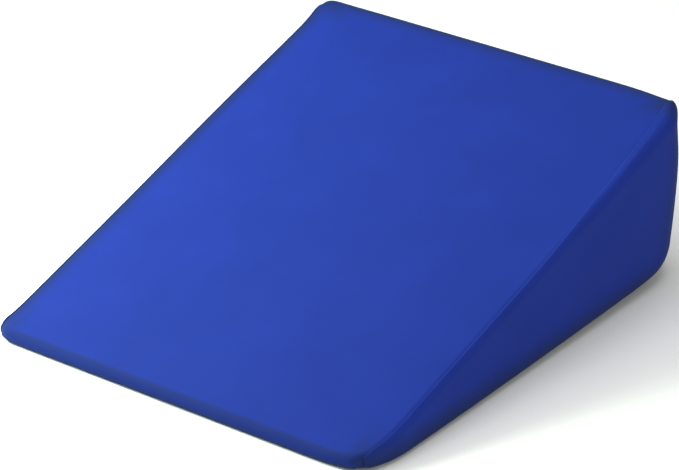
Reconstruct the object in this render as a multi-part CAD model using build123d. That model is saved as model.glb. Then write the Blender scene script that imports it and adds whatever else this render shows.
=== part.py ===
"""Foam incline wedge in a fitted zip-off fabric cover.

Frame: X across the width, Y from the thin toe (-Y) to the high back (+Y), Z up.
The origin is the centre of the footprint, on the surface the wedge stands on.
The footprint includes the zip slider, which stands a little proud of the back.
All lengths are in millimetres.
"""

from build123d import *
import math
import os

# Wedge, measured over the fabric
WIDTH = 508.0
LENGTH = 610.0
HEIGHT = 203.0
TOE_HEIGHT = 18.0
TOE_EDGE_RADIUS = 8.0
BACK_TOP_RADIUS = 15.0
BACK_BOTTOM_RADIUS = 20.0
TOE_CORNER_RADIUS = 24.0
BACK_CORNER_RADIUS = 52.0

# Cover
FABRIC = 1.0
SEAM_INSET = 2.5

# Zip across the back
ZIP_HEIGHT = 62.0
SLOT_HALF_LENGTH = 190.0
SLOT_HALF_WIDTH = 4.8
TAPE = 0.6
TAPE_HALF_LENGTH = 196.0
TAPE_REACH = 14.0
CHAIN_GAP = 0.65
COIL_HALF_LENGTH = 180.0
COIL_REACH = 3.0
COIL_HEIGHT = 2.4
COIL_ROUND = 0.9
END_TAB_LENGTH = 20.0
END_TAB_WIDTH = 26.0
END_TAB_THICKNESS = 1.2
TOPSTITCH_OFFSET = 2.6
THREAD_WIDTH = 0.5
THREAD_HEIGHT = 0.35

# Slider and pull
SLIDER_LENGTH = 10.0
SLIDER_WIDTH = 8.4
LOWER_WING_WIDTH = 7.4
UPPER_WING = 1.2
LOWER_WING = 1.1
RUNNING_GAP = 0.3
FLANGE = 0.9
NECK_LENGTH = 3.0
NECK_WIDTH = 0.7
BAIL_WIRE = 1.1
BAIL_WINDOW_LENGTH = 3.5
BAIL_WINDOW_HEIGHT = 2.3
BAIL_WIDTH = 2.0
PULL_LENGTH = 23.0
PULL_WIDTH = 8.0
PULL_THICKNESS = 1.1
PULL_EYE_LENGTH = 3.7
PULL_EYE_WIDTH = 2.7
PULL_GRIP_HOLE_LENGTH = 5.0
PULL_GRIP_HOLE_WIDTH = 2.6
END_CLEARANCE = 0.5

# Heights above the back panel's outer face, from the foam outwards
TAPE_OUTER = -FABRIC
TAPE_INNER = TAPE_OUTER - TAPE
LOWER_WING_OUTER = TAPE_INNER - RUNNING_GAP
LOWER_WING_INNER = LOWER_WING_OUTER - LOWER_WING
COIL_OUTER = TAPE_OUTER + COIL_HEIGHT
UPPER_WING_INNER = COIL_OUTER + RUNNING_GAP
UPPER_WING_OUTER = UPPER_WING_INNER + UPPER_WING
PIVOT_OUT = UPPER_WING_OUTER + BAIL_WINDOW_HEIGHT / 2
BAIL_OUTER = UPPER_WING_OUTER + BAIL_WINDOW_HEIGHT + BAIL_WIRE

# Places in the frame
TOE_Y = -(LENGTH + BAIL_OUTER) / 2
BACK_Y = TOE_Y + LENGTH
SLIDER_X = COIL_HALF_LENGTH - END_CLEARANCE - SLIDER_LENGTH / 2

OVERSIZE = 1000.0


def incline_slope():
    """Angle of the incline, tangent to the toe's edge circle and the back top edge's."""
    run = LENGTH - TOE_EDGE_RADIUS - BACK_TOP_RADIUS
    rise = (HEIGHT - BACK_TOP_RADIUS) - (TOE_HEIGHT - TOE_EDGE_RADIUS)
    centres = math.hypot(run, rise)
    return math.atan2(rise, run) + math.asin((BACK_TOP_RADIUS - TOE_EDGE_RADIUS) / centres)


def incline_height(y):
    """Height of the incline's plane over a point at y."""
    slope = incline_slope()
    centre_y = TOE_Y + TOE_EDGE_RADIUS
    centre_z = TOE_HEIGHT - TOE_EDGE_RADIUS
    return centre_z + TOE_EDGE_RADIUS / math.cos(slope) + (y - centre_y) * math.tan(slope)


def side_profile():
    """The wedge seen from its side."""
    corners = [
        ((TOE_Y, 0), TOE_EDGE_RADIUS),
        ((BACK_Y, 0), BACK_BOTTOM_RADIUS),
        ((BACK_Y, incline_height(BACK_Y)), BACK_TOP_RADIUS),
        ((TOE_Y, incline_height(TOE_Y)), TOE_EDGE_RADIUS),
    ]
    return rounded_face(Plane.YZ, corners)


def plan_outline():
    """The wedge seen from above."""
    half = WIDTH / 2
    corners = [
        ((-half, TOE_Y), TOE_CORNER_RADIUS),
        ((half, TOE_Y), TOE_CORNER_RADIUS),
        ((half, BACK_Y), BACK_CORNER_RADIUS),
        ((-half, BACK_Y), BACK_CORNER_RADIUS),
    ]
    return rounded_face(Plane.XY, corners)


def rounded_face(plane, corners):
    """A polygon on a plane, each corner rounded by its own radius."""
    face = Polygon(*[point for point, _ in corners], align=None)
    for point, radius in corners:
        corner = face.vertices().sort_by_distance((*point, 0))[0]
        face = fillet(corner, radius)
    return plane * face


def prism(face, depth, both=False):
    return extrude(face, amount=depth, both=both)


def wedge(inset):
    """The wedge's solid, every face moved in by inset."""
    profile = side_profile()
    outline = plan_outline()
    if inset:
        profile = offset(profile, amount=-inset)
        outline = offset(outline, amount=-inset)
    return prism(profile, WIDTH, both=True) & prism(outline, OVERSIZE, both=True)


def block(x_range, y_range, z_range):
    """A box between two limits along each axis."""
    size = [high - low for low, high in (x_range, y_range, z_range)]
    middle = [(high + low) / 2 for low, high in (x_range, y_range, z_range)]
    return Pos(*middle) * Box(*size)


def across_back(half_length, out_range, up_range):
    """A box centred on the zip's middle: out from the back face, and up from the zip's line."""
    y_range = (BACK_Y + out_range[0], BACK_Y + out_range[1])
    z_range = (ZIP_HEIGHT + up_range[0], ZIP_HEIGHT + up_range[1])
    return block((-half_length, half_length), y_range, z_range)


def gusset_zone():
    """Upright band along the right side, from the middle of one corner to the other's."""
    ring = plan_outline() - offset(plan_outline(), amount=-SEAM_INSET)
    half = WIDTH / 2
    sector = Polygon(
        (half - TOE_CORNER_RADIUS, TOE_Y + TOE_CORNER_RADIUS),
        (half, TOE_Y),
        (half, BACK_Y),
        (half - BACK_CORNER_RADIUS, BACK_Y - BACK_CORNER_RADIUS),
        align=None,
    )
    return prism(ring & sector, OVERSIZE, both=True)


def make_cover():
    """One fabric strip round the wedge, and a triangular gusset at each side."""
    shell = wedge(0) - wedge(FABRIC)
    right_zone = gusset_zone()
    gusset_right = shell & right_zone
    gusset_left = mirror(gusset_right, Plane.YZ)
    slot = across_back(SLOT_HALF_LENGTH, (-5 * FABRIC, FABRIC), (-SLOT_HALF_WIDTH, SLOT_HALF_WIDTH))
    wrap = shell - right_zone - mirror(right_zone, Plane.YZ) - slot
    return wrap, gusset_left, gusset_right


def make_foam():
    """The foam block, pressed in where the zip's tapes and slider lie."""
    tape_bed = across_back(TAPE_HALF_LENGTH, (TAPE_INNER, 0), (-TAPE_REACH, TAPE_REACH))
    wing_reach = LOWER_WING_WIDTH / 2 + 3 * RUNNING_GAP
    wing_depth = LOWER_WING_INNER - 2 * RUNNING_GAP
    slider_bed = across_back(COIL_HALF_LENGTH, (wing_depth, 0), (-wing_reach, wing_reach))
    return wedge(FABRIC) - tape_bed - slider_bed


def make_tape():
    """Upper woven tape, under the back panel."""
    return across_back(TAPE_HALF_LENGTH, (TAPE_INNER, TAPE_OUTER), (CHAIN_GAP, TAPE_REACH))


def make_coil():
    """Upper half of the chain, as the bead that its coil fills."""
    bead = across_back(COIL_HALF_LENGTH, (TAPE_OUTER, COIL_OUTER), (CHAIN_GAP, COIL_REACH))
    outer_edges = bead.edges().filter_by(Axis.X).group_by(Axis.Y)[-1]
    return fillet(outer_edges, COIL_ROUND)


def make_end_tab():
    """Folded fabric tab stitched over the right end of the zip."""
    x_range = (COIL_HALF_LENGTH, COIL_HALF_LENGTH + END_TAB_LENGTH)
    y_range = (BACK_Y, BACK_Y + END_TAB_THICKNESS)
    z_range = (ZIP_HEIGHT - END_TAB_WIDTH / 2, ZIP_HEIGHT + END_TAB_WIDTH / 2)
    tab = block(x_range, y_range, z_range)
    return fillet(tab.edges().filter_by(Axis.Y), END_TAB_THICKNESS)


def make_topstitch():
    """Line of thread that holds the upper fabric edge to its tape."""
    middle = SLOT_HALF_WIDTH + TOPSTITCH_OFFSET
    up_range = (middle - THREAD_WIDTH / 2, middle + THREAD_WIDTH / 2)
    return across_back(COIL_HALF_LENGTH - END_CLEARANCE, (0, THREAD_HEIGHT), up_range)


def zip_lower(upper):
    """The same piece below the zip's line."""
    return mirror(upper, Plane.XY.offset(ZIP_HEIGHT))


def plate(length, width, out_range, corner):
    """Plate parallel to the back, centred on the slider."""
    face = Plane.XZ * RectangleRounded(length, width, corner)
    thickness = out_range[1] - out_range[0]
    solid = extrude(face, amount=-thickness)
    return Pos(SLIDER_X, BACK_Y + out_range[0], ZIP_HEIGHT) * solid


def make_slider():
    """Two wings round the chain, a neck between them, and a bail for the pull."""
    upper = plate(SLIDER_LENGTH, SLIDER_WIDTH, (UPPER_WING_INNER, UPPER_WING_OUTER), 2.4)
    lower = plate(SLIDER_LENGTH, LOWER_WING_WIDTH, (LOWER_WING_INNER, LOWER_WING_OUTER), 2.4)
    skirt_low = TAPE_OUTER + RUNNING_GAP
    skirt = plate(SLIDER_LENGTH, SLIDER_WIDTH, (skirt_low, UPPER_WING_INNER), 2.4)
    channel = plate(
        2 * SLIDER_LENGTH, SLIDER_WIDTH - 2 * FLANGE, (skirt_low - 1, UPPER_WING_INNER), 0.2
    )
    neck_x = SLIDER_X + SLIDER_LENGTH / 2 - NECK_LENGTH
    neck = block(
        (neck_x - NECK_LENGTH / 2, neck_x + NECK_LENGTH / 2),
        (BACK_Y + LOWER_WING_OUTER - LOWER_WING / 2, BACK_Y + UPPER_WING_INNER + UPPER_WING / 2),
        (ZIP_HEIGHT - NECK_WIDTH / 2, ZIP_HEIGHT + NECK_WIDTH / 2),
    )
    return upper + lower + (skirt - channel) + neck + make_bail()


def make_bail():
    """Arch on the upper wing, along the zip, with the window that the pull's bar turns in."""
    outer_length = BAIL_WINDOW_LENGTH + 2 * BAIL_WIRE
    outer_height = BAIL_OUTER - UPPER_WING_OUTER
    root = UPPER_WING / 2
    arch = Pos(0, (outer_height - root) / 2) * Rectangle(outer_length, outer_height + root)
    arch = fillet(arch.vertices().group_by(Axis.Y)[-1], 1.5 * BAIL_WIRE)
    window = Pos(0, BAIL_WINDOW_HEIGHT / 2) * RectangleRounded(
        BAIL_WINDOW_LENGTH, BAIL_WINDOW_HEIGHT, BAIL_WIRE / 2
    )
    solid = extrude(arch - window, amount=BAIL_WIDTH / 2, both=True)
    return Pos(SLIDER_X, BACK_Y + UPPER_WING_OUTER, ZIP_HEIGHT) * solid


def make_pull():
    """Flat tab with an eye round the bail; its round end bar turns in the bail's window."""
    bar_radius = PULL_THICKNESS / 2
    eye_half = PULL_WIDTH / 2 - 1
    tip = PULL_WIDTH / 2
    outline = Polygon(
        (0, -eye_half), (0, eye_half), (tip - PULL_LENGTH, tip), (tip - PULL_LENGTH, -tip), align=None
    )
    outline += Pos(tip - PULL_LENGTH, 0) * Circle(tip)
    eye_middle = -(bar_radius + PULL_EYE_LENGTH) / 2
    eye = Pos(eye_middle, 0) * Rectangle(PULL_EYE_LENGTH - bar_radius, PULL_EYE_WIDTH)
    grip_hole = Pos(tip - PULL_LENGTH, 0) * SlotOverall(PULL_GRIP_HOLE_LENGTH, PULL_GRIP_HOLE_WIDTH)
    tab = extrude(Plane.XZ * (outline - eye - grip_hole), amount=bar_radius, both=True)
    bar = Cylinder(bar_radius, 2 * eye_half)
    return Pos(SLIDER_X, BACK_Y + PIVOT_OUT, ZIP_HEIGHT) * (tab + bar)


def main():
    wrap, gusset_left, gusset_right = make_cover()
    tape = make_tape()
    coil = make_coil()
    end_tab = make_end_tab()
    topstitch = make_topstitch()
    nodes = {
        "foam_core": make_foam(),
        "cover_wrap": wrap,
        "gusset_left": gusset_left,
        "gusset_right": gusset_right,
        "zip_tape_upper": tape,
        "zip_tape_lower": zip_lower(tape),
        "zip_coil_upper": coil,
        "zip_coil_lower": zip_lower(coil),
        "zip_end_tab_right": end_tab,
        "zip_end_tab_left": mirror(end_tab, Plane.YZ),
        "zip_topstitch_upper": topstitch,
        "zip_topstitch_lower": zip_lower(topstitch),
        "zip_slider": make_slider(),
        "zip_pull": make_pull(),
    }
    os.makedirs("parts", exist_ok=True)
    for name, solid in nodes.items():
        export_step(solid, f"parts/{name}.step")
    print("incline angle", math.degrees(incline_slope()))
    print("incline over the origin", incline_height(0), "back face", BACK_Y, "toe", TOE_Y)
    print("slider centre", SLIDER_X, "pull pivot", BACK_Y + PIVOT_OUT)


main()
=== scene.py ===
"""Looks for the foam incline wedge: a crowned, seamed cover over its foam, and the zip across the back.

Everything is in metres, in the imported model's frame: X across, Y from the toe to the high back, Z up.
The cover's panels are grids traced onto one rounded wedge and lifted by the crown of a cloth simulation.
"""

import bpy
import bmesh
import math
import numpy as np
from mathutils import Matrix, Vector
from mathutils.kdtree import KDTree


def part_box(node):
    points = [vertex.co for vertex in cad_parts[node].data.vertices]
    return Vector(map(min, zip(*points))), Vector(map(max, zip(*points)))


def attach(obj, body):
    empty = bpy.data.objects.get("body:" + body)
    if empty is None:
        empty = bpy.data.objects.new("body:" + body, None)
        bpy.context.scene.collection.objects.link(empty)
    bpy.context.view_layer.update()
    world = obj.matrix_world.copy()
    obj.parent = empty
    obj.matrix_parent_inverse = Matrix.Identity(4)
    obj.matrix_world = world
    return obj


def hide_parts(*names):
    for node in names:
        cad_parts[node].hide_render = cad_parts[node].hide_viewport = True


MM = 0.001
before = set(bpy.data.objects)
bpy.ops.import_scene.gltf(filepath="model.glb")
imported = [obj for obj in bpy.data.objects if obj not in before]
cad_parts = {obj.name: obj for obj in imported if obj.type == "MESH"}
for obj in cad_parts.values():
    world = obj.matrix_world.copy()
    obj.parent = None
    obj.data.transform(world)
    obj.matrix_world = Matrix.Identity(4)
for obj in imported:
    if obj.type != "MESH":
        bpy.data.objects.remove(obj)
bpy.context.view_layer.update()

# ---------------------------------------------------------------- sizes from the frame
WRAP_LOW, WRAP_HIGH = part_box("cover_wrap")
HALF_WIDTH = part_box("gusset_right")[1].x - 0.5 * MM   # the seams pull the sides in a little
TOE_Y = WRAP_LOW.y
BACK_Y = WRAP_HIGH.y
TOP_Z = WRAP_HIGH.z + 3.5 * MM       # the stuffed edge stands a little over the nominal height
ZIP_Z = (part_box("zip_tape_upper")[0].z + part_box("zip_tape_lower")[1].z) / 2
STITCH_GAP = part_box("zip_topstitch_upper")[0].z - ZIP_Z

# ---------------------------------------------------------------- the wedge's rounding
TOE_TOP_Z = 18 * MM
TOE_ROUND = 7 * MM
BACK_TOP_ROUND = 20.5 * MM
BACK_BOTTOM_ROUND = 34 * MM
TOE_CORNER = 24 * MM
BACK_CORNER = (70 * MM, 42 * MM)     # at the foot, at the top
FOOT_ROUND = (9 * MM, 38 * MM)       # the gussets' lower edge, at the toe, at the back
FOOT_GROWTH = 1.6                    # how late along the gusset that rounding grows
SIDE_ROUND = 11 * MM                 # the gussets' upper edge

# Where the sewn cover is drawn in or stands out: each place's middle, the move there, and its reach.
# In order: the high corners, the left one's tip, the back's lower corners, the toe's, the left side.
COVER_PULLS = [
    ((HALF_WIDTH - 10 * MM, BACK_Y - 10 * MM, TOP_Z - 8 * MM), (-5.8 * MM, -4.4 * MM, -1.2 * MM), 44 * MM),
    ((-HALF_WIDTH + 10 * MM, BACK_Y - 10 * MM, TOP_Z - 4 * MM), (-7.0 * MM, -3.0 * MM, 0.5 * MM), 31 * MM),
    ((-HALF_WIDTH + 6 * MM, BACK_Y - 8 * MM, TOP_Z - 2 * MM), (-1.4 * MM, 0.4 * MM, 0.8 * MM), 18 * MM),
    ((HALF_WIDTH - 14 * MM, BACK_Y - 14 * MM, 14 * MM), (-1.8 * MM, 0.6 * MM, 6.6 * MM), 42 * MM),
    ((-HALF_WIDTH + 14 * MM, BACK_Y - 14 * MM, 14 * MM), (2.0 * MM, -1.0 * MM, 4.0 * MM), 42 * MM),
    ((HALF_WIDTH - 6 * MM, TOE_Y + 6 * MM, 5 * MM), (-9.2 * MM, 4.8 * MM, 1.9 * MM), 32 * MM),
    ((-HALF_WIDTH + 6 * MM, TOE_Y + 6 * MM, 5 * MM), (-4.0 * MM, 0.6 * MM, 0), 24 * MM),
    ((-HALF_WIDTH, 80 * MM, 140 * MM), (-1.7 * MM, 0, 0), 150 * MM),
]

# ---------------------------------------------------------------- the cover
SEAM_INSET = 5.5 * MM        # how far inside the gusset's face its seams lie
DRAWN_RIGHT = 15 * MM        # how much further at the high back, as the cover sits a little to the left
DRAWN_LEFT = 1 * MM
SEAM_DRAWN_FROM = (-20 * MM, 320 * MM)
SEAM_LAP = 0.3 * MM          # the two panels overlap this much inside the seam's groove
SEAM_ROLL = 1.6 * MM         # how near a seam a panel starts to turn in
SEAM_DEPTH = 1.2 * MM
ALLOWANCE = 9.5 * MM         # seam allowance, which shows through the gusset as a band
RIDGE_RIGHT = 0.55 * MM      # how far that band stands up
RIDGE_LEFT = 0.3 * RIDGE_RIGHT
RIDGE_FADE = (0.45, 0.95)    # where along the gusset the band comes up, from toe to back
RIDGE_WAVE = 15 * MM
RIPPLE = 0.15 * MM           # the gusset's cloth, just below that band
RIPPLE_WAVE = 13 * MM
PUCKER = 0.12 * MM           # the wrap's cloth, beside its seams
PUCKER_REACH = 9 * MM
PUCKER_WAVE = 19 * MM
WRAP_SEED = 3
RIGHT_SEED = 11
LEFT_SEED = 29
CLOTH = 0.9 * MM
FLAT_STEP = 6 * MM
SLOT_HALF = 4.8 * MM         # half the gap in which the zip's chain shows
SLOT_CLOSED = -0.35 * MM     # past the zip's ends its lips lap, sewn together
SLOT_TAPER = (183 * MM, 189 * MM)
SLOT_SPREAD = 34 * MM        # how far up and down the back the cloth gives to close the slot
FOAM_INSET = 1.7 * MM
GUSSET_LENGTH = 600 * MM
GUSSET_REACH = 34 * MM       # how far the tray's rim is drawn inwards before it is cut at the seam

# ---------------------------------------------------------------- the zip
STITCH_SINK = 0.35 * MM
STITCH_PITCH = 3 * MM
STITCH_SPAN = (0.08, 0.92)   # the share of its pitch that a stitch shows
STITCH_BOW = 0.42 * MM
THREAD_RADIUS = 0.27 * MM
TAB_STITCH_INSET = 3 * MM
TAB_STITCH_PITCH = 2.5 * MM
TAB_EDGE = 1.1 * MM          # the fold's rounding
TAB_SUNK = 0.4 * MM
COIL_PITCH = 1.27 * MM
COIL_REACH = 3.0 * MM
COIL_MESH = 0.35 * MM        # how far each side's teeth pass the middle
COIL_POINTS = 12             # points in one turn of the coil
WIRE = 0.3 * MM

# ---------------------------------------------------------------- colours
COVER_COLOUR = (0.0088, 0.0242, 0.228)
SHEEN = 0.04
SHEEN_TINT = (0.35, 0.55, 1.0, 1)
PAINTED_EDGE_SHADE = (1.10, 0.80, 0.42, 1)    # painted shade: the cloth's colour darkened along the wedge's rounded edges
TAPE_COLOUR = (0.010, 0.022, 0.18)
COIL_COLOUR = (0.009, 0.018, 0.145)
THREAD_COLOUR = (0.017, 0.036, 0.28)
ENAMEL_COLOUR = (0.008, 0.016, 0.12)
WORN_METAL = (0.35, 0.35, 0.36)
FOAM_COLOUR = (0.72, 0.70, 0.60)
FLOOR_TONES = ((0.88, 0.88, 0.88), (0.90, 0.90, 0.90))
COVER_WEAVE = 0.6 * MM
TAPE_WEAVE = 0.9 * MM

# ---------------------------------------------------------------- crown
CROWN_CAP = 7 * MM
VOXEL = 6 * MM
CLOTH_FRAMES = 20
CLOTH_PRESSURE = 4
SMOOTHING_ROUNDS = 12
EDGE_PULL = 0.8 * MM         # the most that the cover may sink in

# ---------------------------------------------------------------- camera and light
CAMERA_AZIMUTH = 37.30
CAMERA_ELEVATION = 26.26
CAMERA_LENS = 186.54
CAMERA_TARGET = (0, -0.00315, 0.0915)
CAMERA_DISTANCE = 3.8644
CAMERA_RIGHT = -0.01147
CAMERA_UP = -0.00799
# Each light: place, target, size, power and, where it isn't white, colour.
KEY_LIGHT = ((-1.0, -0.6, 0.85), (-0.2, -0.2, 0.05), (0.7, 0.7), 36, (0.87, 1.08, 0.85))
TOP_LIGHT = ((-0.3, -0.2, 2.6), (0, 0, 0), (3.0, 3.0), 51)
BACK_LIGHT = ((0.3, 2.6, 1.6), (0, 0, 0.1), (2.4, 1.6), 7)
SIDE_LIGHT = ((3.0, -0.6, 0.9), (0.2, 0, 0.1), (1.6, 1.6), 33, (1.0, 1.03, 0.85))
WORLD_LIGHT = 0.26


# ================================================================ the wedge as a distance function
def smoothstep(value, low, high):
    t = np.clip((value - low) / (high - low), 0, 1)
    return t * t * (3 - 2 * t)


def rounded_max(a, b, cosine, radius):
    """Distance to two half-spaces' common part, its edge rounded, from the distance to each."""
    a_in, b_in = a + radius, b + radius
    on_edge = (a_in - cosine * b_in > 0) & (b_in - cosine * a_in > 0)
    spread = np.maximum(1 - cosine**2, 1e-6)
    corner = np.sqrt(np.maximum(a_in**2 + b_in**2 - 2 * a_in * b_in * cosine, 0) / spread)
    return np.where(on_edge, corner, np.maximum(a_in, b_in)) - radius


def incline():
    """Slope of the incline and its height over y = 0."""
    run = (BACK_Y - BACK_TOP_ROUND) - (TOE_Y + TOE_ROUND)
    rise = (TOP_Z - BACK_TOP_ROUND) - (TOE_TOP_Z - TOE_ROUND)
    slope = math.atan2(rise, run) + math.asin((BACK_TOP_ROUND - TOE_ROUND) / math.hypot(run, rise))
    centre_height = TOE_TOP_Z - TOE_ROUND + TOE_ROUND / math.cos(slope)
    return slope, centre_height - (TOE_Y + TOE_ROUND) * math.tan(slope)


SLOPE, INCLINE_Z = incline()
INCLINE_SIN, INCLINE_COS = math.sin(SLOPE), math.cos(SLOPE)


def profile_distance(y, z):
    """Distance to the side profile, negative inside."""
    bottom, back, toe = -z, y - BACK_Y, TOE_Y - y
    top = (z - INCLINE_Z) * INCLINE_COS - y * INCLINE_SIN
    return np.maximum.reduce([
        rounded_max(bottom, back, 0.0, BACK_BOTTOM_ROUND),
        rounded_max(back, top, -INCLINE_SIN, BACK_TOP_ROUND),
        rounded_max(top, toe, INCLINE_SIN, TOE_ROUND),
        rounded_max(toe, bottom, 0.0, TOE_ROUND),
    ])


def share_up(z):
    """0 at the foot, 1 at the top."""
    return np.clip(z / TOP_Z, 0, 1)


def back_corner(z):
    return BACK_CORNER[0] + (BACK_CORNER[1] - BACK_CORNER[0]) * share_up(z)


def foot_round(y):
    share = np.clip((y - TOE_Y) / (BACK_Y - TOE_Y), 0, 1) ** FOOT_GROWTH
    return FOOT_ROUND[0] + (FOOT_ROUND[1] - FOOT_ROUND[0]) * share


def incline_height(y):
    return INCLINE_Z + y * math.tan(SLOPE)


def edge_round(y, z):
    """Rounding between a gusset and what it meets: the foot's below, the incline's above."""
    height = np.maximum(incline_height(y), TOE_TOP_Z)
    above = smoothstep(z / height, 0.3, 0.7)
    return foot_round(y) * (1 - above) + SIDE_ROUND * above


def plan_distance(x, y, z):
    """Distance to the outline seen from above, negative inside."""
    side = np.abs(x) - HALF_WIDTH
    return np.maximum(
        rounded_max(side, y - BACK_Y, 0.0, back_corner(z)),
        rounded_max(side, TOE_Y - y, 0.0, TOE_CORNER),
    )


def wedge_distance(points):
    """Distance to the whole wedge, its side edges rounded."""
    x, y, z = points.T
    tiny = 1e-5
    profile, plan = profile_distance(y, z), plan_distance(x, y, z)
    profile_slope = (profile_distance(y + tiny, z) - profile_distance(y - tiny, z)) / (2 * tiny)
    plan_slope = (plan_distance(x, y + tiny, z) - plan_distance(x, y - tiny, z)) / (2 * tiny)
    return rounded_max(profile, plan, profile_slope * plan_slope, edge_round(y, z))


def wedge_normals(points):
    tiny = 2e-5
    steps = np.eye(3) * tiny
    slopes = np.stack([wedge_distance(points + s) - wedge_distance(points - s) for s in steps], 1)
    return slopes / np.linalg.norm(slopes, axis=1, keepdims=True)


def trace(origins, directions):
    """Where rays that start outside the wedge meet it."""
    points = origins.copy()
    for _ in range(60):
        points += directions * wedge_distance(points)[:, None]
    for _ in range(3):
        closing = (wedge_normals(points) * directions).sum(1)
        closing = np.minimum(closing, -0.1)
        points -= directions * (wedge_distance(points) / closing)[:, None]
    return points


def seam_inset(y, drawn):
    """How far inside the gusset's face its seams lie: drawn further over the incline towards the back."""
    return SEAM_INSET + drawn * smoothstep(y, *SEAM_DRAWN_FROM)


def seam_side(points, drawn):
    """Positive on a gusset, negative on the wrap, zero on the seam between them."""
    return np.abs(points[:, 0]) - HALF_WIDTH + seam_inset(points[:, 1], drawn)


def pull_cover(points):
    """The unevenness of a sewn cover: each of its pulls fades out over its reach."""
    moved = points.copy()
    for place, shift, reach in COVER_PULLS:
        away = np.linalg.norm(points - np.array(place), axis=1)
        moved += np.array(shift) * np.exp(-((away / reach) ** 2))[:, None]
    moved[:, 2] = np.maximum(moved[:, 2], 0)
    return moved


# ================================================================ small helpers
def graded(length, fine, step):
    """Positions from 0 to length, close together near both ends as fine says, and step apart between."""
    fine = np.array(fine)
    middle = length - 2 * fine[-1]
    count = max(2, int(round(middle / step)))
    between = fine[-1] + middle * np.arange(1, count) / count
    return np.concatenate([fine, between, length - fine[::-1]])


SEAM_STEPS = [
    0, 0.25 * MM, 0.5 * MM, 0.8 * MM, 1.1 * MM, 1.5 * MM, 2 * MM, 2.7 * MM, 3.6 * MM, 4.8 * MM,
    6.2 * MM, 7.6 * MM, 8.8 * MM, 9.8 * MM, 10.8 * MM, 12 * MM, 14 * MM, 17 * MM, 21 * MM, 26 * MM,
]


def new_object(name, vertices, faces):
    mesh = bpy.data.meshes.new(name)
    mesh.from_pydata([tuple(v) for v in vertices], [], [tuple(f) for f in faces])
    mesh.update()
    for polygon in mesh.polygons:
        polygon.use_smooth = True
    obj = bpy.data.objects.new(name, mesh)
    bpy.context.scene.collection.objects.link(obj)
    return obj


def lay_flat(obj, flat):
    """Gives the cloth its flat position at each vertex as UVs, in metres, for the weave."""
    layer = obj.data.uv_layers.new(name="flat")
    loops = np.empty(len(obj.data.loops), dtype=np.int64)
    obj.data.loops.foreach_get("vertex_index", loops)
    layer.data.foreach_set("uv", flat[loops].astype(np.float32).ravel())


def grid_faces(rows, columns):
    index = np.arange(rows * columns).reshape(rows, columns)
    corners = [index[:-1, :-1], index[:-1, 1:], index[1:, 1:], index[1:, :-1]]
    return np.stack([c.ravel() for c in corners], 1)


# ================================================================ crown from a cloth simulation
def base_ball():
    """An even mesh of the rounded wedge, for the simulation."""
    mesh = bpy.data.meshes.new("crown_source")
    shape = bmesh.new()
    bmesh.ops.create_cube(shape, size=2.0)
    bmesh.ops.subdivide_edges(shape, edges=shape.edges[:], cuts=60, use_grid_fill=True)
    shape.to_mesh(mesh)
    shape.free()
    centre = np.array([0, (TOE_Y + BACK_Y) / 2, TOP_Z * 0.3])
    corners = np.array([v.co for v in mesh.vertices])
    reach = np.array([HALF_WIDTH, (BACK_Y - TOE_Y) / 2, TOP_Z * 0.3])
    outward = corners * reach
    outward /= np.linalg.norm(outward, axis=1, keepdims=True)
    surface = trace(centre + outward, -outward)
    mesh.vertices.foreach_set("co", surface.astype(np.float32).ravel())
    obj = bpy.data.objects.new("crown_source", mesh)
    bpy.context.scene.collection.objects.link(obj)
    remesh = obj.modifiers.new("Remesh", "REMESH")
    remesh.mode = "VOXEL"
    remesh.voxel_size = VOXEL
    bpy.context.view_layer.objects.active = obj
    bpy.ops.object.modifier_apply(modifier=remesh.name)
    points = np.array([v.co for v in obj.data.vertices])
    for _ in range(4):
        points -= wedge_normals(points) * wedge_distance(points)[:, None]
    obj.data.vertices.foreach_set("co", points.astype(np.float32).ravel())
    obj.data.update()
    return obj, points


def smooth_field(values, edges, rounds):
    """Averages a value over each vertex's neighbours, a few rounds."""
    count = np.zeros(len(values))
    np.add.at(count, edges[:, 0], 1)
    np.add.at(count, edges[:, 1], 1)
    for _ in range(rounds):
        total = np.zeros(len(values))
        np.add.at(total, edges[:, 0], values[edges[:, 1]])
        np.add.at(total, edges[:, 1], values[edges[:, 0]])
        values = 0.5 * values + 0.5 * total / np.maximum(count, 1)
    return values


def inflate(obj, rest):
    """Runs the cloth under pressure and returns how far each vertex swelled outwards."""
    cloth = obj.modifiers.new("Cloth", "CLOTH")
    cloth.settings.quality = 6
    cloth.settings.mass = 0.3
    cloth.settings.tension_stiffness = 40
    cloth.settings.compression_stiffness = 40
    cloth.settings.shear_stiffness = 20
    cloth.settings.bending_stiffness = 2
    cloth.settings.use_pressure = True
    cloth.settings.uniform_pressure_force = CLOTH_PRESSURE
    cloth.settings.effector_weights.gravity = 0
    cloth.collision_settings.use_collision = False
    cloth.point_cache.frame_end = CLOTH_FRAMES
    scene = bpy.context.scene
    for number in range(1, CLOTH_FRAMES + 1):
        scene.frame_set(number)
    evaluated = obj.evaluated_get(bpy.context.evaluated_depsgraph_get())
    swollen = np.array([v.co for v in evaluated.data.vertices])
    scene.frame_set(1)
    return ((swollen - rest) * wedge_normals(rest)).sum(1)


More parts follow.
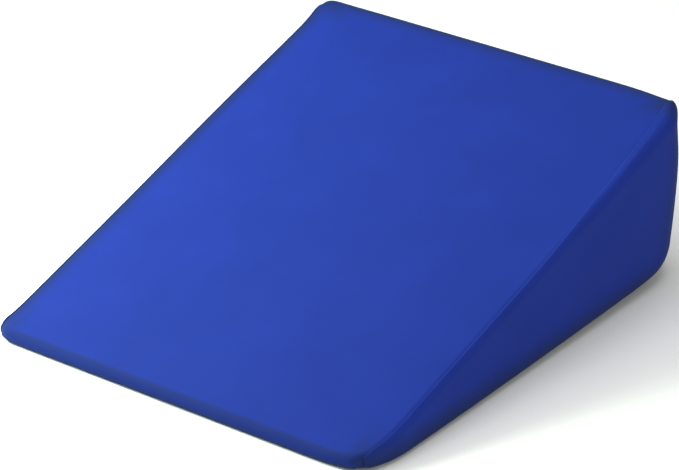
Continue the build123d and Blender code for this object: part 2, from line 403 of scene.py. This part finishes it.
class Crown:
    """How far the stuffed cover stands off the rounded wedge at any point of it."""

    def __init__(self):
        ball, self.rest = base_ball()
        normals = wedge_normals(self.rest)
        swell = inflate(ball, self.rest)
        edges = np.array([e.vertices[:] for e in ball.data.edges])
        swell = smooth_field(swell, edges, SMOOTHING_ROUNDS)
        swell = swell * CROWN_CAP / swell.max()
        swell = np.maximum(swell, -EDGE_PULL)
        self.rise = swell * self.hold(self.rest, normals)
        self.faces = [polygon.vertices[:] for polygon in ball.data.polygons]
        bpy.data.objects.remove(ball)
        self.tree = KDTree(len(self.rest))
        for index, place in enumerate(self.rest):
            self.tree.insert(place, index)
        self.tree.balance()

    def hold(self, points, normals):
        """1 where the cover may swell; 0 underneath, where it lies on the floor, and along the zip."""
        off_floor = smoothstep(points[:, 2], 2 * MM, 40 * MM) + smoothstep(normals[:, 2], 0.2, 0.8)
        near_zip = smoothstep(normals[:, 1], 0.5, 0.9)
        beside_zip = smoothstep(np.abs(points[:, 2] - ZIP_Z), 14 * MM, 75 * MM)
        under = smoothstep(-normals[:, 2], 0.3, 0.8)
        return np.clip(off_floor, 0, 1) * (1 - near_zip * (1 - beside_zip)) * (1 - under)

    def at(self, points):
        """The rise at each point, from its nearest neighbours in the simulated mesh."""
        rises = np.empty(len(points))
        for number, place in enumerate(points):
            near = self.tree.find_n(place, 6)
            weights = np.array([1 / (distance + 1 * MM) ** 2 for _, _, distance in near])
            rises[number] = (weights * self.rise[[index for _, index, _ in near]]).sum() / weights.sum()
        return rises


# ================================================================ panel grids
def settle(points, rounds=8):
    """Moves points that are near the wedge's surface onto it."""
    for _ in range(rounds):
        points = points - wedge_normals(points) * wedge_distance(points)[:, None]
    return points


def wrap_line():
    """The wrap's line in (y, z): from the slot's lower lip round the toe and back to the upper lip."""
    def arc(centre_y, centre_z, radius, start, end):
        angles = np.radians(np.linspace(start, end, 40))
        return np.stack([centre_y + radius * np.cos(angles), centre_z + radius * np.sin(angles)], 1)

    up = 90 + math.degrees(SLOPE)
    return np.concatenate([
        [[BACK_Y, ZIP_Z - SLOT_HALF]],
        arc(BACK_Y - BACK_BOTTOM_ROUND, BACK_BOTTOM_ROUND, BACK_BOTTOM_ROUND, 0, -90),
        arc(TOE_Y + TOE_ROUND, TOE_ROUND, TOE_ROUND, -90, -180),
        arc(TOE_Y + TOE_ROUND, TOE_TOP_Z - TOE_ROUND, TOE_ROUND, 180, up),
        arc(BACK_Y - BACK_TOP_ROUND, TOP_Z - BACK_TOP_ROUND, BACK_TOP_ROUND, up, 0),
        [[BACK_Y, ZIP_Z + SLOT_HALF]],
    ])


def lengths_along(points):
    """Cumulative length along each row of points."""
    steps = np.linalg.norm(np.diff(points, axis=-2), axis=-1)
    return np.concatenate([np.zeros(steps.shape[:-1] + (1,)), np.cumsum(steps, -1)], -1)


def corner_cut(x, radius):
    """How far a rounded plan corner cuts into the end of the wedge at x."""
    into = np.clip(np.abs(x) - HALF_WIDTH + radius, 0, radius)
    return radius - np.sqrt(radius**2 - into**2)


def wrap_points(line, x):
    """Points of the wrap for each (y, z) of its line and each x, settled on the wedge."""
    y, z = line[:, 0, None], line[:, 1, None]
    back = smoothstep(y, BACK_Y - 110 * MM, BACK_Y - 15 * MM) * corner_cut(x, back_corner(z))
    toe = (1 - smoothstep(y, TOE_Y + 8 * MM, TOE_Y + 60 * MM)) * corner_cut(x, TOE_CORNER)
    drop = back * math.tan(SLOPE) * np.clip(z / TOP_Z, 0, 1)
    points = np.stack([x, y - back + toe, z - drop], -1)
    return settle(points.reshape(-1, 3)).reshape(points.shape)


def seam_x(line, drawn):
    """How far from the middle each row of the wrap meets a gusset."""
    low, high = np.full((len(line), 1), HALF_WIDTH / 2), np.full((len(line), 1), HALF_WIDTH - 1 * MM)
    for _ in range(22):
        middle = (low + high) / 2
        outside = seam_side(wrap_points(line, middle)[:, 0], drawn)[:, None] > 0
        low, high = np.where(outside, low, middle), np.where(outside, middle, high)
    return low + SEAM_LAP


def resample(values, lengths, wanted):
    """Each row of values at the wanted lengths along that row."""
    return np.stack([np.interp(w, l, v) for w, l, v in zip(wanted, lengths, values)])


def graded_rows(totals, step):
    """Positions along each row, fine near both seams, and never closer than the row allows."""
    count = int(round((totals.max() - 2 * SEAM_STEPS[-1]) / step))
    rows = []
    for total in totals:
        fine = np.array(SEAM_STEPS) * min(1, total / (2.3 * SEAM_STEPS[-1]))
        middle = fine[-1] + (total - 2 * fine[-1]) * np.arange(1, count) / count
        rows.append(np.concatenate([fine, middle, total - fine[::-1]]))
    return np.array(rows)


def roll(distance):
    """How far a panel's edge turns in as it nears its seam."""
    t = np.clip(1 - distance / SEAM_ROLL, 0, 1)
    return -SEAM_DEPTH * (1 - np.sqrt(1 - t**2))


def seam_weight(y):
    """The seam's groove is shallow at the toe and full at the back."""
    return 0.2 + 0.8 * smoothstep(y, TOE_Y + 20 * MM, 160 * MM)


def wander(along, seed, wave):
    """A smooth random line from about -1 to 1, a few waves of near lengths added up."""
    random = np.random.default_rng(seed)
    total = np.zeros_like(along)
    for _ in range(6):
        total += np.sin(2 * math.pi * along / (wave * random.uniform(0.6, 1.7)) + random.uniform(0, 6.3))
    return total / 3


def wrap_panel(crown):
    """The strip that runs bottom, toe, incline and back."""
    outline = wrap_line()
    lengths = lengths_along(outline)
    stations = graded(lengths[-1], SEAM_STEPS, FLAT_STEP)
    line = np.stack([np.interp(stations, lengths, outline[:, k]) for k in range(2)], 1)
    left_border, right_border = -seam_x(line, DRAWN_LEFT), seam_x(line, DRAWN_RIGHT)
    dense = left_border + (right_border - left_border) * np.linspace(0, 1, 241)
    across = lengths_along(wrap_points(line, dense))
    wanted = graded_rows(across[:, -1], FLAT_STEP)
    x = resample(dense, across, wanted)
    points = wrap_points(line, x)
    shape = x.shape
    flat = points.reshape(-1, 3)
    normals = wedge_normals(flat)
    rise = crown.at(flat).reshape(shape)
    from_seam = np.minimum(wanted, wanted[:, -1:] - wanted)
    from_slot = np.minimum(stations, stations[-1] - stations)[:, None] * np.ones(shape)
    slot_open = 1 - smoothstep(np.abs(x), *SLOT_TAPER)
    relief = roll(from_seam) * seam_weight(flat[:, 1]).reshape(shape) + roll(from_slot)
    relief -= STITCH_SINK * slot_open * np.exp(-((from_slot - STITCH_GAP + SLOT_HALF) / (0.8 * MM)) ** 2)
    along = stations[:, None] + 0 * x
    pucker = np.exp(-(from_seam / PUCKER_REACH) ** 2) * smoothstep(from_seam, 0, 3 * MM)
    relief += PUCKER * pucker * wander(along, WRAP_SEED, PUCKER_WAVE)
    moved = flat + normals * (rise + relief).reshape(-1, 1)
    side = np.where(stations < stations[-1] / 2, 1, -1)[:, None]
    close = (SLOT_HALF - SLOT_CLOSED) * (1 - slot_open) * (1 - smoothstep(from_slot, 0, SLOT_SPREAD))
    moved[:, 2] += (side * close).ravel()
    moved[:, 2] = np.maximum(moved[:, 2], 0)
    flat_x = wanted - wanted[:, -1:] / 2
    return moved, shape, np.stack([flat_x, along], -1).reshape(-1, 2)


def outline_at(column, z, drawn):
    """The right side's outline at height z, from the toe seam (column 0) to the back seam (1).

    Gives x, y and the outward direction.
    """
    corner = back_corner(z)
    toe_end = np.arccos(1 - seam_inset(TOE_Y, drawn) / TOE_CORNER)
    back_end = np.arccos(1 - seam_inset(BACK_Y, drawn) / corner)
    toe_arc, back_arc = TOE_CORNER * toe_end, corner * back_end
    straight = BACK_Y - corner - TOE_Y - TOE_CORNER
    place = column * (toe_arc + straight + back_arc)
    on_back = np.clip(place - toe_arc - straight, 0, None) / corner
    angle = -np.clip(toe_arc - place, 0, None) / TOE_CORNER + on_back
    on_toe = place < toe_arc
    radius = np.where(on_toe, TOE_CORNER, corner)
    past_toe = np.clip(place - toe_arc, 0, straight)
    middle_y = np.where(on_toe, TOE_Y + TOE_CORNER, TOE_Y + TOE_CORNER + past_toe)
    x = HALF_WIDTH - radius + radius * np.cos(angle)
    return x, middle_y + radius * np.sin(angle), np.cos(angle), np.sin(angle)


def gusset_panel(crown, seed, drawn, ridge, mirrored=False):
    """The right gusset, tray-shaped: its edge turns over the incline, the underside and both corners."""
    sweep = np.radians(np.linspace(0, 90, 40))
    reach = np.linspace(GUSSET_REACH, SIDE_ROUND, 40)[:-1]
    straight = np.linspace(0, 1, 120)[1:-1]
    inward = np.concatenate([
        -reach,
        -SIDE_ROUND * (1 - np.sin(sweep)),
        0 * straight,
        -SIDE_ROUND * (1 - np.cos(sweep)),
        -reach[::-1],
    ])
    height = np.concatenate([
        0 * reach,
        SIDE_ROUND * (1 - np.cos(sweep)),
        SIDE_ROUND + 0 * straight,
        SIDE_ROUND * (1 + np.sin(sweep)),
        2 * SIDE_ROUND + 0 * reach,
    ])
    share = np.concatenate([0 * reach, 0 * sweep, straight, 1 + 0 * sweep, 1 + 0 * reach])
    stations = graded(GUSSET_LENGTH, SEAM_STEPS, FLAT_STEP)
    column = stations[:, None] / GUSSET_LENGTH + 0 * share
    foot_x, foot_y, out_x, out_y = outline_at(column, 0.5 * TOP_Z + 0 * column, drawn)
    wall = np.maximum(incline_height(foot_y - SIDE_ROUND * out_y) - 2 * SIDE_ROUND, 0.4 * MM)
    z = height + share * wall
    foot_x, foot_y, out_x, out_y = outline_at(column, z, drawn)
    dense = np.stack([foot_x + out_x * inward, foot_y + out_y * inward, z], -1)
    dense = settle(dense.reshape(-1, 3)).reshape(dense.shape)
    inside = seam_side(dense.reshape(-1, 3), drawn).reshape(z.shape) + SEAM_LAP
    across = lengths_along(dense)
    turn = len(reach) + len(sweep)
    first = np.array([np.interp(0, row[:turn], length[:turn]) for row, length in zip(inside, across)])
    last = np.array([
        np.interp(0, row[:-turn:-1], length[:-turn:-1]) for row, length in zip(inside, across)])
    wanted = graded_rows(last - first, FLAT_STEP)
    lengths = wanted + first[:, None]
    points = np.stack([resample(dense[..., axis], across, lengths) for axis in range(3)], -1)
    shape = wanted.shape
    flat = settle(points.reshape(-1, 3), 4)
    normals = wedge_normals(flat)
    rise = crown.at(flat).reshape(shape)
    to_top, to_foot = wanted[:, -1:] - wanted, wanted
    along = stations[:, None] + 0 * wanted
    to_end = np.minimum(along, stations[-1] - along)
    from_seam = np.minimum.reduce([to_top, to_foot, to_end])
    relief = roll(from_seam) * seam_weight(flat[:, 1]).reshape(shape)
    high = smoothstep(along / stations[-1], *RIDGE_FADE)
    band_end = smoothstep(to_top, ALLOWANCE - 1.6 * MM, ALLOWANCE + 1.2 * MM)
    band = smoothstep(to_top, 0, 1.6 * MM) * (1 - band_end)
    lumps = 1 + 0.7 * wander(along, seed, RIDGE_WAVE)
    relief += ridge * (0.12 + 0.88 * high) * band * lumps
    beside = np.exp(-((to_top - ALLOWANCE - 2 * MM) / (3 * MM)) ** 2)
    relief += RIPPLE * high * beside * wander(along, seed + 1, RIPPLE_WAVE)
    moved = flat + normals * (rise + relief).reshape(-1, 1)
    moved[:, 2] = np.maximum(moved[:, 2], 0)
    if mirrored:
        moved[:, 0] *= -1
    return moved, shape, np.stack([along, wanted], -1).reshape(-1, 2), mirrored


def painted_shade_amount(points):
    """How much painted shade darkens the cloth: 0 on the wedge's broad faces, 1 along the edges between
    them, but for the incline's right-hand seam.

    A band is one edge: the depths inside its two faces, and between which depths it fades.
    """
    x, y, z = points.T
    slope = (INCLINE_Z - z) * INCLINE_COS + y * INCLINE_SIN
    back, toe, under, side = BACK_Y - y, y - TOE_Y, z, HALF_WIDTH - np.abs(x)
    left = np.where(x < 0, side, HALF_WIDTH)
    corner, foot = back_corner(z), foot_round(y)
    bands = [
        (slope, toe, 0, 8 * MM),
        (under, toe, 0, 11 * MM),
        (slope, left, 2 * MM, 27 * MM),
        (slope, back, 11 * MM, 40 * MM),
        (under, back, 10 * MM, 42 * MM),
        (side, back, 0.35 * corner, 1.35 * corner),
        (side, toe, 6 * MM, 20 * MM),
        (under, side, 0.35 * foot, 0.35 * foot + 32 * MM),
    ]
    return np.maximum.reduce([
        1 - smoothstep(np.maximum(one, other), start, end) for one, other, start, end in bands])


def cloth_object(name, points, shape, flat, flip=False):
    """A sheet of cloth from a grid of points; flip turns its outer side round."""
    faces = grid_faces(*shape)
    if flip:
        faces = faces[:, ::-1]
    obj = new_object(name, pull_cover(points), faces)
    # the edge attribute: how much painted shade darkens the cloth's colour at each point
    edge = obj.data.attributes.new("edge", "FLOAT", "POINT")
    edge.data.foreach_set("value", painted_shade_amount(points).astype(np.float32))
    lay_flat(obj, flat)
    thick = obj.modifiers.new("Cloth thickness", "SOLIDIFY")
    thick.thickness = CLOTH
    thick.offset = -1
    thick.use_even_offset = False
    return obj


# ================================================================ zip
def tube(path, radius, sides=6):
    """A round thread along a path, its ends closed."""
    path = np.asarray(path)
    ahead = np.gradient(path, axis=0)
    ahead /= np.linalg.norm(ahead, axis=1, keepdims=True)
    across = np.cross(ahead, [0.31, 0.52, 0.79])
    across /= np.linalg.norm(across, axis=1, keepdims=True)
    other = np.cross(ahead, across)
    turns = 2 * math.pi * np.arange(sides) / sides
    rings = path[:, None] + radius * (
        across[:, None] * np.cos(turns)[None, :, None] + other[:, None] * np.sin(turns)[None, :, None])
    vertices = rings.reshape(-1, 3)
    faces = []
    for ring in range(len(path) - 1):
        for side in range(sides):
            after = (side + 1) % sides
            low, high = ring * sides, (ring + 1) * sides
            faces.append((low + side, low + after, high + after, high + side))
    last = (len(path) - 1) * sides
    faces.append(tuple(reversed(range(sides))))
    faces.append(tuple(last + side for side in range(sides)))
    return vertices, faces


def joined(name, shapes):
    """One object from several shapes' vertices and faces."""
    vertices, faces, start = [], [], 0
    for points, polygons in shapes:
        vertices.extend(points)
        faces.extend(tuple(start + corner for corner in polygon) for polygon in polygons)
        start += len(points)
    return new_object(name, vertices, faces)


def coil(name, node, sign, phase):
    """One side of the chain: a flattened helix of monofilament along the tape's edge."""
    low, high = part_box(node)
    head = ZIP_Z - sign * COIL_MESH
    root = ZIP_Z + sign * COIL_REACH
    turns = (high.x - low.x - 2 * WIRE) / COIL_PITCH
    angle = np.arange(int(turns * COIL_POINTS)) / COIL_POINTS * 2 * math.pi
    middle_y = (low.y + high.y) / 2
    half_y = (high.y - low.y) / 2 - WIRE
    middle_z = (head + root) / 2
    half_z = abs(root - head) / 2 - WIRE / 2
    path = np.stack([
        low.x + WIRE + angle / (2 * math.pi) * COIL_PITCH,
        middle_y + half_y * np.cos(angle + phase),
        middle_z + half_z * np.sin(angle + phase),
    ], 1)
    return joined(name, [tube(path, WIRE)])


def stitches(name, starts, ends, outward):
    """Single stitches from start to end, each bowed out of the cloth and sunk at its ends."""
    shapes = []
    for start, end in zip(starts, ends):
        t = np.linspace(0, 1, 7)[:, None]
        bow = (np.sin(math.pi * t) - 0.55) * STITCH_BOW
        path = np.asarray(start) * (1 - t) + np.asarray(end) * t + np.asarray(outward) * bow
        shapes.append(tube(path, THREAD_RADIUS))
    return joined(name, shapes)


def stitch_row(name, node):
    """The topstitching that holds the cover to one tape."""
    low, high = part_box(node)
    y = BACK_Y - STITCH_SINK + 0.12 * MM
    z = (low.z + high.z) / 2
    count = int((high.x - low.x) / STITCH_PITCH)
    pitch = (high.x - low.x) / count
    starts, ends = [
        [(low.x + (number + share) * pitch, y, z) for number in range(count)] for share in STITCH_SPAN]
    return stitches(name, starts, ends, (0, 1, 0))


def tape(name, node):
    """Half the zip's woven tape: flat, its surface gently uneven."""
    low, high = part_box(node)
    xs = np.linspace(low.x, high.x, 260)
    inner, outer = sorted((low.z, high.z), key=lambda z: abs(z - ZIP_Z))
    zs = np.linspace(*sorted((ZIP_Z + 0.05 * (inner - ZIP_Z), outer)), 22)
    grid_z, grid_x = np.meshgrid(zs, xs, indexing="ij")
    ripple = 0.05 * MM * np.sin(grid_x / (5.3 * MM)) * np.sin(grid_z / (2.1 * MM))
    face = np.full_like(grid_x, high.y) - 0.05 * MM + ripple
    points = np.stack([grid_x, face, grid_z], -1).reshape(-1, 3)
    flat = np.stack([grid_x, grid_z], -1).reshape(-1, 2)
    obj = cloth_object(name, points, grid_x.shape, flat, flip=True)
    obj.modifiers["Cloth thickness"].thickness = high.y - low.y - 0.1 * MM
    return obj


def end_tab(name, node):
    """A folded fabric tab over the zip's end: soft edges, sunk along its box of stitching."""
    low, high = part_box(node)
    half_x, half_z = (high.x - low.x) / 2, (high.z - low.z) / 2
    centre_x, centre_z = (high.x + low.x) / 2, (high.z + low.z) / 2
    thick = high.y - low.y
    count_x, count_z = 41, 53
    u, v = np.meshgrid(np.linspace(-1, 1, count_x), np.linspace(-1, 1, count_z))
    x, z = u * half_x, v * half_z
    edge = np.minimum(half_x - np.abs(x), half_z - np.abs(z))
    body = thick * np.sqrt(np.clip(1 - np.clip(1 - edge / TAB_EDGE, 0, 1) ** 2, 0, 1))
    sunk = TAB_SUNK * np.exp(-((edge - TAB_STITCH_INSET) / (0.8 * MM)) ** 2)
    soft = 0.1 * MM * np.sin(x / (2.3 * MM) + 1) * np.sin(z / (3.1 * MM))
    front = low.y + np.maximum(body - sunk * (edge > 0.8 * MM) + soft * (edge > 1 * MM), 0.0)
    behind = low.y - 0.3 * MM + 0 * front
    outer = np.stack([centre_x + x, front, centre_z + z], -1).reshape(-1, 3)
    inner = np.stack([centre_x + x, behind, centre_z + z], -1).reshape(-1, 3)
    faces = grid_faces(count_z, count_x)
    count = count_x * count_z
    index = np.arange(count).reshape(count_z, count_x)
    ring = np.concatenate([index[0, :-1], index[:-1, -1], index[-1, :0:-1], index[:0:-1, 0]])
    after = np.roll(ring, -1)
    walls = np.stack([ring, after, after + count, ring + count], 1)
    all_faces = np.concatenate([faces[:, ::-1], faces + count, walls])
    points = np.concatenate([outer, inner])
    obj = new_object(name, points, all_faces)
    lay_flat(obj, points[:, [0, 2]])
    return obj


def tab_stitching(name, node):
    """The box of stitching that holds an end tab."""
    low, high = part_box(node)
    inset = TAB_STITCH_INSET
    y = high.y - 0.28 * MM
    corners = [(low.x + inset, low.z + inset), (high.x - inset, low.z + inset),
               (high.x - inset, high.z - inset), (low.x + inset, high.z - inset)]
    starts, ends = [], []
    for (x0, z0), (x1, z1) in zip(corners, corners[1:] + corners[:1]):
        length = math.hypot(x1 - x0, z1 - z0)
        count = max(1, round(length / TAB_STITCH_PITCH))
        for number in range(count):
            for places, share in zip((starts, ends), STITCH_SPAN):
                along = (number + share) / count
                places.append((x0 + (x1 - x0) * along, y, z0 + (z1 - z0) * along))
    return stitches(name, starts, ends, (0, 1, 0))


# ================================================================ materials
class Nodes:
    """A short way to write a material's nodes."""

    def __init__(self, name):
        self.material = bpy.data.materials.new(name)
        self.material.use_nodes = True
        self.tree = self.material.node_tree
        self.shader = self.tree.nodes["Principled BSDF"]

    def coordinates(self):
        """Texture coordinates: the flat cloth's from UV, the model's own metres from Object."""
        return self.tree.nodes.new("ShaderNodeTexCoord").outputs

    def link(self, source, target):
        self.tree.links.new(source, target)

    def math(self, operation, *values):
        node = self.tree.nodes.new("ShaderNodeMath")
        node.operation = operation
        for socket, value in zip(node.inputs, values):
            if isinstance(value, (int, float)):
                socket.default_value = value
            else:
                self.link(value, socket)
        return node.outputs[0]

    def blend(self, first, first_share, second, second_share):
        """Two values added up in the given shares."""
        first = self.math("MULTIPLY", first, first_share)
        second = self.math("MULTIPLY", second, second_share)
        return self.math("ADD", first, second)

    def scale_and_add(self, value, factor, base):
        return self.math("ADD", self.math("MULTIPLY", value, factor), base)

    def colour(self, source):
        self.link(source, self.shader.inputs["Base Color"])

    def roughness(self, source):
        self.link(source, self.shader.inputs["Roughness"])

    def mix(self, kind, factor):
        """A colour mix node, for its two colours to be set or linked."""
        node = self.tree.nodes.new("ShaderNodeMix")
        node.data_type = "RGBA"
        node.blend_type = kind
        self.link(factor, node.inputs["Factor"])
        return node

    def noise(self, coordinates, scale, detail=3.0, roughness=0.5):
        node = self.tree.nodes.new("ShaderNodeTexNoise")
        node.inputs["Scale"].default_value = scale
        node.inputs["Detail"].default_value = detail
        node.inputs["Roughness"].default_value = roughness
        self.link(coordinates, node.inputs["Vector"])
        return node.outputs["Fac"]

    def ramp(self, factor, colours, low=0.0, high=1.0):
        node = self.tree.nodes.new("ShaderNodeValToRGB")
        node.color_ramp.elements[0].position = low
        node.color_ramp.elements[1].position = high
        node.color_ramp.elements[0].color = (*colours[0], 1)
        node.color_ramp.elements[1].color = (*colours[1], 1)
        self.link(factor, node.inputs["Fac"])
        return node.outputs["Color"]

    def bump(self, height, distance, strength=1.0):
        node = self.tree.nodes.new("ShaderNodeBump")
        node.inputs["Strength"].default_value = strength
        node.inputs["Distance"].default_value = distance
        self.link(height, node.inputs["Height"])
        self.link(node.outputs["Normal"], self.shader.inputs["Normal"])

    def set(self, **values):
        for key, value in values.items():
            self.shader.inputs[key.replace("_", " ")].default_value = value


def weave(nodes, coordinates, pitch):
    """Over-and-under threads of a plain weave, from 0 to 1."""
    split = nodes.tree.nodes.new("ShaderNodeSeparateXYZ")
    nodes.link(coordinates, split.inputs[0])
    turn = 2 * math.pi / pitch
    warp = nodes.math("SINE", nodes.math("MULTIPLY", split.outputs[0], turn))
    weft = nodes.math("SINE", nodes.math("MULTIPLY", split.outputs[1], turn))
    return nodes.scale_and_add(nodes.math("MULTIPLY", warp, weft), 0.5, 0.5)


def scaled(colour, factor):
    return tuple(channel * factor for channel in colour)


def fabric(name, colour, pitch, spread=0.05):
    """Woven cloth: uneven dye and fuzz, painted shade along the edges, a plain weave of the given pitch.
    """
    nodes = Nodes(name)
    place = nodes.coordinates()
    threads = weave(nodes, place["UV"], pitch)
    cloud = nodes.noise(place["Object"], 14.0)
    fuzz = nodes.noise(place["Object"], 1500.0, 2.0)
    tone = nodes.blend(cloud, 0.6, fuzz, 0.4)
    dyed = nodes.ramp(tone, (scaled(colour, 1 - 2 * spread), scaled(colour, 1 + 2 * spread)), 0.25, 0.75)
    # painted shade: the dyed colour is darkened along the wedge's edges, as the edge attribute says
    edge = nodes.tree.nodes.new("ShaderNodeAttribute")
    edge.attribute_name = "edge"
    shaded_edges = nodes.mix("MULTIPLY", edge.outputs["Fac"])
    shaded_edges.inputs["B"].default_value = PAINTED_EDGE_SHADE
    nodes.link(dyed, shaded_edges.inputs["A"])
    nodes.colour(shaded_edges.outputs["Result"])
    nodes.roughness(nodes.scale_and_add(fuzz, 0.1, 0.72))
    nodes.bump(nodes.blend(threads, 0.7, fuzz, 0.5), 0.06 * MM, 0.5)
    nodes.set(Specular_IOR_Level=0.09, Sheen_Weight=SHEEN, Sheen_Roughness=0.45, Sheen_Tint=SHEEN_TINT)
    return nodes.material


def nylon(name, colour):
    """Dyed filament: a fine grain and a soft gloss."""
    nodes = Nodes(name)
    grain = nodes.noise(nodes.coordinates()["Object"], 900.0)
    nodes.colour(nodes.ramp(grain, (scaled(colour, 0.75), scaled(colour, 1.2)), 0.3, 0.7))
    nodes.roughness(nodes.scale_and_add(grain, 0.15, 0.3))
    nodes.set(Specular_IOR_Level=0.5)
    return nodes.material


def foam_material(name, colour):
    """Open-cell foam: small pores, bumped, with painted shade darkening the colour in each of them."""
    nodes = Nodes(name)
    cells = nodes.tree.nodes.new("ShaderNodeTexVoronoi")
    cells.inputs["Scale"].default_value = 700
    nodes.link(nodes.coordinates()["Object"], cells.inputs["Vector"])
    pores = cells.outputs["Distance"]
    # painted shade: the colour darkens towards each pore's middle
    nodes.colour(nodes.ramp(pores, (scaled(colour, 0.62), colour), 0.05, 0.6))
    nodes.bump(pores, 0.4 * MM, 0.8)
    nodes.set(Roughness=0.9, Specular_IOR_Level=0.2)
    return nodes.material


def enamel(name, colour, worn):
    """Painted zinc: even enamel, worn to the metal in small spots."""
    nodes = Nodes(name)
    wear = nodes.noise(nodes.coordinates()["Object"], 420.0, 5.0, 0.65)
    bare = nodes.ramp(wear, ((0, 0, 0), (1, 1, 1)), 0.66, 0.72)
    mix = nodes.mix("MIX", bare)
    mix.inputs["A"].default_value = (*colour, 1)
    mix.inputs["B"].default_value = (*worn, 1)
    nodes.colour(mix.outputs["Result"])
    nodes.link(bare, nodes.shader.inputs["Metallic"])
    nodes.roughness(nodes.scale_and_add(wear, 0.2, 0.2))
    nodes.bump(wear, 0.05 * MM, 0.3)
    nodes.set(Specular_IOR_Level=0.5)
    return nodes.material


def paper(name, tones):
    """The studio floor's matte paper."""
    nodes = Nodes(name)
    nodes.colour(nodes.ramp(nodes.noise(nodes.coordinates()["Object"], 3.0), tones))
    nodes.set(Roughness=0.9, Specular_IOR_Level=0.1)
    return nodes.material


def paint(obj, material):
    obj.data.materials.clear()
    obj.data.materials.append(material)
    return obj


# ================================================================ build the cover
crown = Crown()
COVER = fabric("cover_cloth", COVER_COLOUR, COVER_WEAVE)
FOAM = foam_material("open_cell_foam", FOAM_COLOUR)
TAPE = fabric("tape_weave", TAPE_COLOUR, TAPE_WEAVE, spread=0.1)
NYLON = nylon("coil_nylon", COIL_COLOUR)
THREAD = nylon("thread_polyester", THREAD_COLOUR)
ENAMEL = enamel("slider_enamel", ENAMEL_COLOUR, WORN_METAL)

wrap = cloth_object("cover_wrap_cloth", *wrap_panel(crown))
right = cloth_object("gusset_right_cloth", *gusset_panel(crown, RIGHT_SEED, DRAWN_RIGHT, RIDGE_RIGHT))
left = cloth_object(
    "gusset_left_cloth", *gusset_panel(crown, LEFT_SEED, DRAWN_LEFT, RIDGE_LEFT, mirrored=True))

foam_points = crown.rest + wedge_normals(crown.rest) * (crown.rise - FOAM_INSET)[:, None]
foam = new_object("foam_block", pull_cover(foam_points), crown.faces)

for piece, node in ((wrap, "cover_wrap"), (right, "gusset_right"), (left, "gusset_left")):
    paint(piece, COVER)
    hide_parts(node)
    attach(piece, "mat")
paint(foam, FOAM)
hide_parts("foam_core")
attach(foam, "mat")

# ---------------------------------------------------------------- the zip
for half, sign, phase in (("upper", 1, 0.0), ("lower", -1, math.pi)):
    tape_cloth = paint(tape(f"tape_{half}", f"zip_tape_{half}"), TAPE)
    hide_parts(f"zip_tape_{half}")
    teeth = paint(coil(f"coil_{half}", f"zip_coil_{half}", sign, phase), NYLON)
    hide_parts(f"zip_coil_{half}")
    row = paint(stitch_row(f"topstitch_{half}", f"zip_topstitch_{half}"), THREAD)
    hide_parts(f"zip_topstitch_{half}")
    for piece in (tape_cloth, teeth, row):
        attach(piece, "mat")

for hand in ("left", "right"):
    tab = paint(end_tab(f"end_tab_{hand}", f"zip_end_tab_{hand}"), COVER)
    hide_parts(f"zip_end_tab_{hand}")
    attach(tab, "mat")
    box_stitch = paint(tab_stitching(f"tab_stitching_{hand}", f"zip_end_tab_{hand}"), THREAD)
    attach(box_stitch, "mat")

for node in ("zip_slider", "zip_pull"):
    paint(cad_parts[node], ENAMEL)

# ================================================================ floor, light and camera
floor = new_object("floor", [(-6, -6, 0), (6, -6, 0), (6, 6, 0), (-6, 6, 0)], [(0, 1, 2, 3)])
paint(floor, paper("floor_paper", FLOOR_TONES))

world = bpy.data.worlds.new("studio")
bpy.context.scene.world = world
world.use_nodes = True
world.node_tree.nodes["Background"].inputs["Color"].default_value = (1, 1, 1, 1)
world.node_tree.nodes["Background"].inputs["Strength"].default_value = WORLD_LIGHT


def soft_light(name, place, target, size, power, colour=(1, 1, 1)):
    light = bpy.data.lights.new(name, "AREA")
    light.shape = "RECTANGLE"
    light.size, light.size_y = size
    light.energy = power
    light.color = colour
    obj = bpy.data.objects.new(name, light)
    obj.location = place
    obj.rotation_euler = (Vector(target) - Vector(place)).to_track_quat("-Z", "Y").to_euler()
    bpy.context.scene.collection.objects.link(obj)
    return obj


soft_light("key", *KEY_LIGHT)
soft_light("top", *TOP_LIGHT)
soft_light("back", *BACK_LIGHT)
soft_light("side", *SIDE_LIGHT)

azimuth, elevation = math.radians(CAMERA_AZIMUTH), math.radians(CAMERA_ELEVATION)
towards = Vector((math.sin(azimuth) * math.cos(elevation),
                  -math.cos(azimuth) * math.cos(elevation), math.sin(elevation)))
rightward = Vector((0, 0, 1)).cross(towards).normalized()
upward = towards.cross(rightward)
camera_data = bpy.data.cameras.new("camera")
camera_data.sensor_width = 36
camera_data.lens = CAMERA_LENS
camera_data.clip_start = 0.1
camera_data.clip_end = 50
camera = bpy.data.objects.new("camera", camera_data)
camera.matrix_world = Matrix.Translation(
    Vector(CAMERA_TARGET) + towards * CAMERA_DISTANCE + rightward * CAMERA_RIGHT + upward * CAMERA_UP
) @ Matrix((rightward, upward, towards)).transposed().to_4x4()
bpy.context.scene.collection.objects.link(camera)
bpy.context.scene.camera = camera

bpy.context.scene.view_settings.view_transform = "Standard"
bpy.context.view_layer.update()
